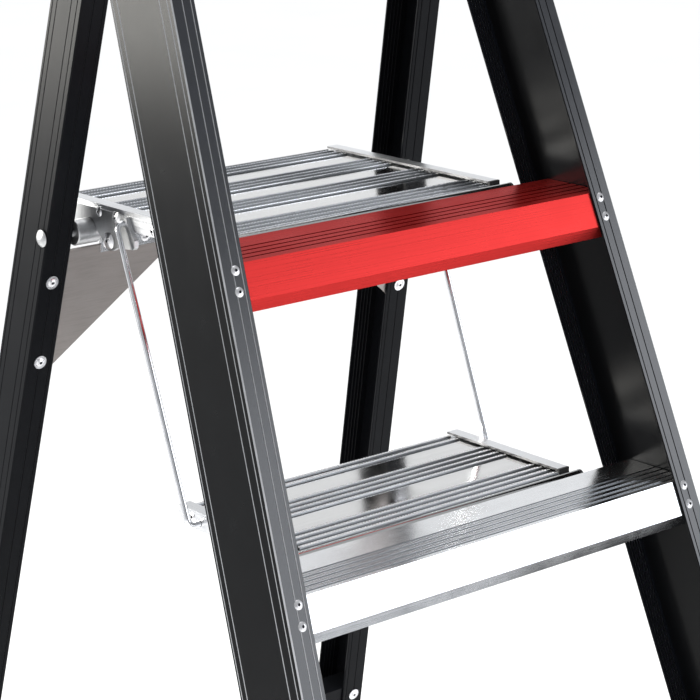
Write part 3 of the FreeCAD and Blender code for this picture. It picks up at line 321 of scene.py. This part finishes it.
RIB_ROOT = 0.15 * MM                # above the deck
NOSE_CLEAR = 2.5 * MM               # behind the nose pin's axis
GROOVE_BAND = (0.1 * MM, 0.75 * MM)  # below a step's top face
GROOVES_CLEAR = 1.2 * MM
SHADED_BORE_RADIUS = 1.35 * MM
SHADED_BORE_DEEP = 2.4 * MM             # below a rivet's crown
SAME_POINT_DIGITS = 5               # corners of one solid meet to a hundredth of a mm


def add_slot(node, name):
    node.data.materials.append(materials[name])
    return len(node.data.materials) - 1


def shade_faces(prefix, material, chosen):
    """Put a material on the faces that a test picks, in the nodes whose names start alike."""
    for name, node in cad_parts.items():
        if not name.startswith(prefix):
            continue
        slot = add_slot(node, material)
        for polygon in node.data.polygons:
            if chosen(polygon):
                polygon.material_index = slot


def darken_rib_flanks(prefix, pin):
    """The upright sides of the deck ribs are painted darker metal than their tops: painted shade."""
    lowest = deck_height(pin) + RIB_ROOT
    first_rib = middle_of(pin).y + NOSE_CLEAR

    def on_flank(polygon):
        place = polygon.center
        return abs(polygon.normal.y) > UPRIGHT and place.z > lowest and place.y > first_rib

    shade_faces(prefix, "painted_shade_flank", on_flank)


def shade_groove_walls(step, material):
    """Paints shade on the walls of the grooves in a step's top, a thin band below the top face."""
    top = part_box(step)[1].z
    shallow, deep = GROOVE_BAND

    def in_groove(polygon):
        return abs(polygon.normal.y) > SQUARE_ON and shallow < top - polygon.center.z < deep

    shade_faces(step, material, in_groove)


def shade_step_backs(step, material):
    """Painted shade: darker aluminium on the rear and the underside of a step, below its grooves."""
    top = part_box(step)[1].z

    def on_back(polygon):
        below = top - polygon.center.z
        return polygon.normal.dot(FRONT_OUT) < TURNED_AWAY and below > GROOVES_CLEAR

    shade_faces(step, material, on_back)


def faces_front(polygon):
    return polygon.normal.dot(FRONT_OUT) > FACE_ON


def faces_inward(polygon):
    return polygon.normal.x * polygon.center.x < -UPRIGHT * abs(polygon.center.x)


def gets_painted_highlight(polygon):
    """Corner chamfers and the groove flanks that face forward and outward, which get a painted
    highlight.
    """
    low, high = SLANTED
    outward = polygon.normal.x * polygon.center.x > 0
    forward = polygon.normal.dot(FRONT_OUT)
    return low < forward < high and abs(polygon.normal.x) > low and outward


def solids_of(mesh):
    """Polygon indices of each separate solid in a node's mesh."""
    parent = {}

    def root(key):
        while parent[key] != key:
            parent[key] = parent[parent[key]]
            key = parent[key]
        return key

    keys = [tuple(round(value, SAME_POINT_DIGITS) for value in vertex.co) for vertex in mesh.vertices]
    for key in keys:
        parent.setdefault(key, key)
    for polygon in mesh.polygons:
        first = root(keys[polygon.vertices[0]])
        for index in polygon.vertices[1:]:
            parent[root(keys[index])] = first
    groups = {}
    for polygon in mesh.polygons:
        groups.setdefault(root(keys[polygon.vertices[0]]), []).append(polygon.index)
    return list(groups.values())


def darken_rivet_hearts(name, axis):
    """The middle of each rivet head, where the rivet's stem ends, is painted near black: partly the
    dark stem end, partly painted shade of its hollow bore.
    """
    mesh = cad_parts[name].data
    slot = add_slot(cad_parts[name], "rivet_bore_shade")
    for group in solids_of(mesh):
        points = [mesh.vertices[i].co for index in group for i in mesh.polygons[index].vertices]
        middle = sum(points, Vector()) / len(points)
        out = axis if axis.x == 0 else Vector((math.copysign(1, middle.x), 0, 0))
        crown = max(point.dot(out) for point in points)
        for index in group:
            centre = mesh.polygons[index].center
            offset = centre - middle
            radial = (offset - out * offset.dot(out)).length
            if radial < SHADED_BORE_RADIUS and centre.dot(out) > crown - SHADED_BORE_DEEP:
                mesh.polygons[index].material_index = slot


def refine_cad_faces():
    darken_rib_flanks("upper_plank", "upper_hinge_pin")
    darken_rib_flanks("lower_plank", "lower_hinge_pin")
    for step in SILVER_STEPS:
        shade_groove_walls(step, "painted_shade_flank")
        shade_step_backs(step, "plate_aluminium")
    shade_groove_walls("red_step", "groove_red_shade")
    # painted sheen on the front-facing faces of the front stiles
    shade_faces("front_stile", "front_flange_painted_sheen", faces_front)
    for bar in SIDE_BARS:
        shade_faces(bar, "shadowed_metal", faces_inward)
    shade_faces("front_stile", "groove_painted_highlight", gets_painted_highlight)
    darken_rivet_hearts("step_rivets", FRONT_OUT)
    darken_rivet_hearts("bracket_rivets", -FRONT_OUT)
    darken_rivet_hearts("rear_rivets", REAR_OUT)
    darken_rivet_hearts("upper_platform_rivets", SIDE_OUT)
    darken_rivet_hearts("lower_platform_rivets", SIDE_OUT)


# ---- Serrations ----
RIB_TALL = 1.3 * MM
RIB_HALF_LENGTH = 0.1422
RIB_TOP_WIDTH = 2.3 * MM
LAND_WIDTH = 4.4 * MM
LAND_END_GAP = 6 * MM
EDGE_BEHIND_FRONT = 10.4 * MM       # front top edge of a step behind its foremost point
DECK_TOOTH = (3.1 * MM, 0.75 * MM)  # pitch, height
STEP_TOOTH = (2.8 * MM, 0.14 * MM)
TOOTH_WEAR = (0.75, 1.0)            # share of the full height
VALLEY = 0.03 * MM
ROOT_DEEP = 0.3 * MM
# rows of teeth, in mm behind the nose pin or behind a step's front top edge
UPPER_RIBS = (4.6, 14.3, 24.0, 33.7, 72.3, 82.0, 91.7, 101.4, 136.2, 145.9, 155.6, 165.3,
              200.5, 210.2, 219.9)
LOWER_RIBS = (7.6, 17.3, 27.0, 36.7, 73.0, 82.6, 92.2, 101.9, 136.0, 147.0)
LAND_ROWS = (10.0, 18.0, 26.0, 34.0)


def add_toothed_strip(form, half_length, y, z, width, tooth):
    """Closed strip along X whose top is a row of sharp cross teeth."""
    pitch, tall = tooth
    count = int(2 * half_length / pitch) * 2
    rings = []
    for index in range(count + 1):
        x = -half_length + index * pitch / 2
        peak = z + (tall * random.uniform(*TOOTH_WEAR) if index % 2 else VALLEY)
        corners = ((y - width / 2, z - ROOT_DEEP), (y - width / 2, peak),
                   (y + width / 2, peak), (y + width / 2, z - ROOT_DEEP))
        rings.append([form.verts.new((x, across, up)) for across, up in corners])
    for first, second in zip(rings, rings[1:]):
        for k in range(4):
            following = (k + 1) % 4
            form.faces.new((first[k], second[k], second[following], first[following]))
    form.faces.new(rings[0])
    form.faces.new(rings[-1][::-1])


def make_piece(name, form, body, material):
    bmesh.ops.recalc_face_normals(form, faces=form.faces)
    mesh = bpy.data.meshes.new(name)
    form.to_mesh(mesh)
    form.free()
    mesh.materials.append(materials[material])
    piece = bpy.data.objects.new(name, mesh)
    bpy.context.scene.collection.objects.link(piece)
    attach(piece, body)


def make_deck_teeth(name, pin, rows, body, material):
    form = bmesh.new()
    nose = middle_of(pin)
    rib_top = deck_height(pin) + RIB_TALL
    for behind in rows:
        add_toothed_strip(form, RIB_HALF_LENGTH, nose.y + behind * MM, rib_top, RIB_TOP_WIDTH,
                          DECK_TOOTH)
    make_piece(name, form, body, material)


def make_step_teeth(step):
    low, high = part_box(step)
    form = bmesh.new()
    front_edge = low.y + EDGE_BEHIND_FRONT
    half_length = high.x - LAND_END_GAP
    for behind in LAND_ROWS:
        add_toothed_strip(form, half_length, front_edge + behind * MM, high.z, LAND_WIDTH,
                          STEP_TOOTH)
    make_piece(step + "_teeth", form, "front_frame", "tread_teeth")


def make_serrations():
    make_deck_teeth("upper_deck_teeth", "upper_hinge_pin", UPPER_RIBS, "upper_platform",
                    "tooth_aluminium")
    make_deck_teeth("lower_deck_teeth", "lower_hinge_pin", LOWER_RIBS, "lower_platform",
                    "bright_teeth")
    for step in SILVER_STEPS:
        make_step_teeth(step)


# ---- Stage ----
FLOOR_HALF = 16.0
FLOOR_CELLS = 8
FLOOR_DROP = 0.5 * MM               # below the soles, so that no faces coincide
FLOOR_TONES = [(0.3, (0.94, 0.94, 0.94)), (0.7, (0.96, 0.96, 0.96))]
WORLD_COLOUR = (0.96, 0.98, 1.0, 1.0)
WORLD_STRENGTH = 0.5
OVERHEAD_STRENGTH = 1.9
OVERHEAD_ANGLE = math.radians(50)
OVERHEAD_TILT = (math.radians(-12), math.radians(10), 0)
WHITE = (1, 1, 1)
COOL = (0.92, 0.95, 1.0)
WARM = (1.0, 0.98, 0.92)
# name, place, target, size, brightness, colour
SOFTBOXES = (
    ("front_right", (1.6, -1.9, 1.2), (0.0, -0.1, 1.0), (2.4, 1.5), 3.0, COOL),
    ("back_left", (-1.7, 1.75, 1.72), (-0.2, 0.1, 1.82), (1.4, 1.2), 20.0, WARM),
    ("front_left", (-2.1, -1.5, 0.75), (-0.1, 0.0, 1.1), (0.9, 1.1), 1.0, WHITE),
    ("back_right", (2.2, 2.7, 1.9), (0.0, 0.0, 1.1), (3.2, 1.3), 0.5, WHITE),
)


def make_floor():
    mesh = bpy.data.meshes.new("floor")
    form = bmesh.new()
    bmesh.ops.create_grid(form, x_segments=FLOOR_CELLS, y_segments=FLOOR_CELLS,
                           size=FLOOR_HALF)
    form.to_mesh(mesh)
    form.free()
    floor = bpy.data.objects.new("floor", mesh)
    floor.location = (0, 0, object_low.z - FLOOR_DROP)
    shader = Shader("floor_paint", Roughness=0.9)
    marks = shader.noise(shader.mapped(), 2.0, 3.0)
    shader.colour(shader.ramp(marks, FLOOR_TONES))
    mesh.materials.append(shader.material)
    bpy.context.scene.collection.objects.link(floor)


def make_softbox(name, place, target, size, brightness, colour):
    """Rectangular area light whose face has the given brightness."""
    data = bpy.data.lights.new(name, "AREA")
    data.shape = "RECTANGLE"
    data.size, data.size_y = size
    data.energy = brightness * math.pi * size[0] * size[1]
    data.color = colour
    light = bpy.data.objects.new(name, data)
    light.visible_camera = False
    bpy.context.scene.collection.objects.link(light)
    aim = Vector(target) - Vector(place)
    turn = aim.to_track_quat("-Z", "Y").to_matrix().to_4x4()
    light.matrix_world = Matrix.Translation(place) @ turn


def make_overhead():
    data = bpy.data.lights.new("overhead", "SUN")
    data.energy = OVERHEAD_STRENGTH
    data.angle = OVERHEAD_ANGLE
    light = bpy.data.objects.new("overhead", data)
    light.rotation_euler = OVERHEAD_TILT
    bpy.context.scene.collection.objects.link(light)


def make_world():
    world = bpy.data.worlds.new("studio")
    world.use_nodes = True
    background = world.node_tree.nodes["Background"]
    background.inputs["Color"].default_value = WORLD_COLOUR
    background.inputs["Strength"].default_value = WORLD_STRENGTH
    bpy.context.scene.world = world


def make_stage():
    bpy.context.scene.view_settings.view_transform = "Standard"
    make_floor()
    make_world()
    make_overhead()
    for settings in SOFTBOXES:
        make_softbox(*settings)


dress_cad_nodes()
refine_cad_faces()
make_serrations()
make_stage()
make_camera()
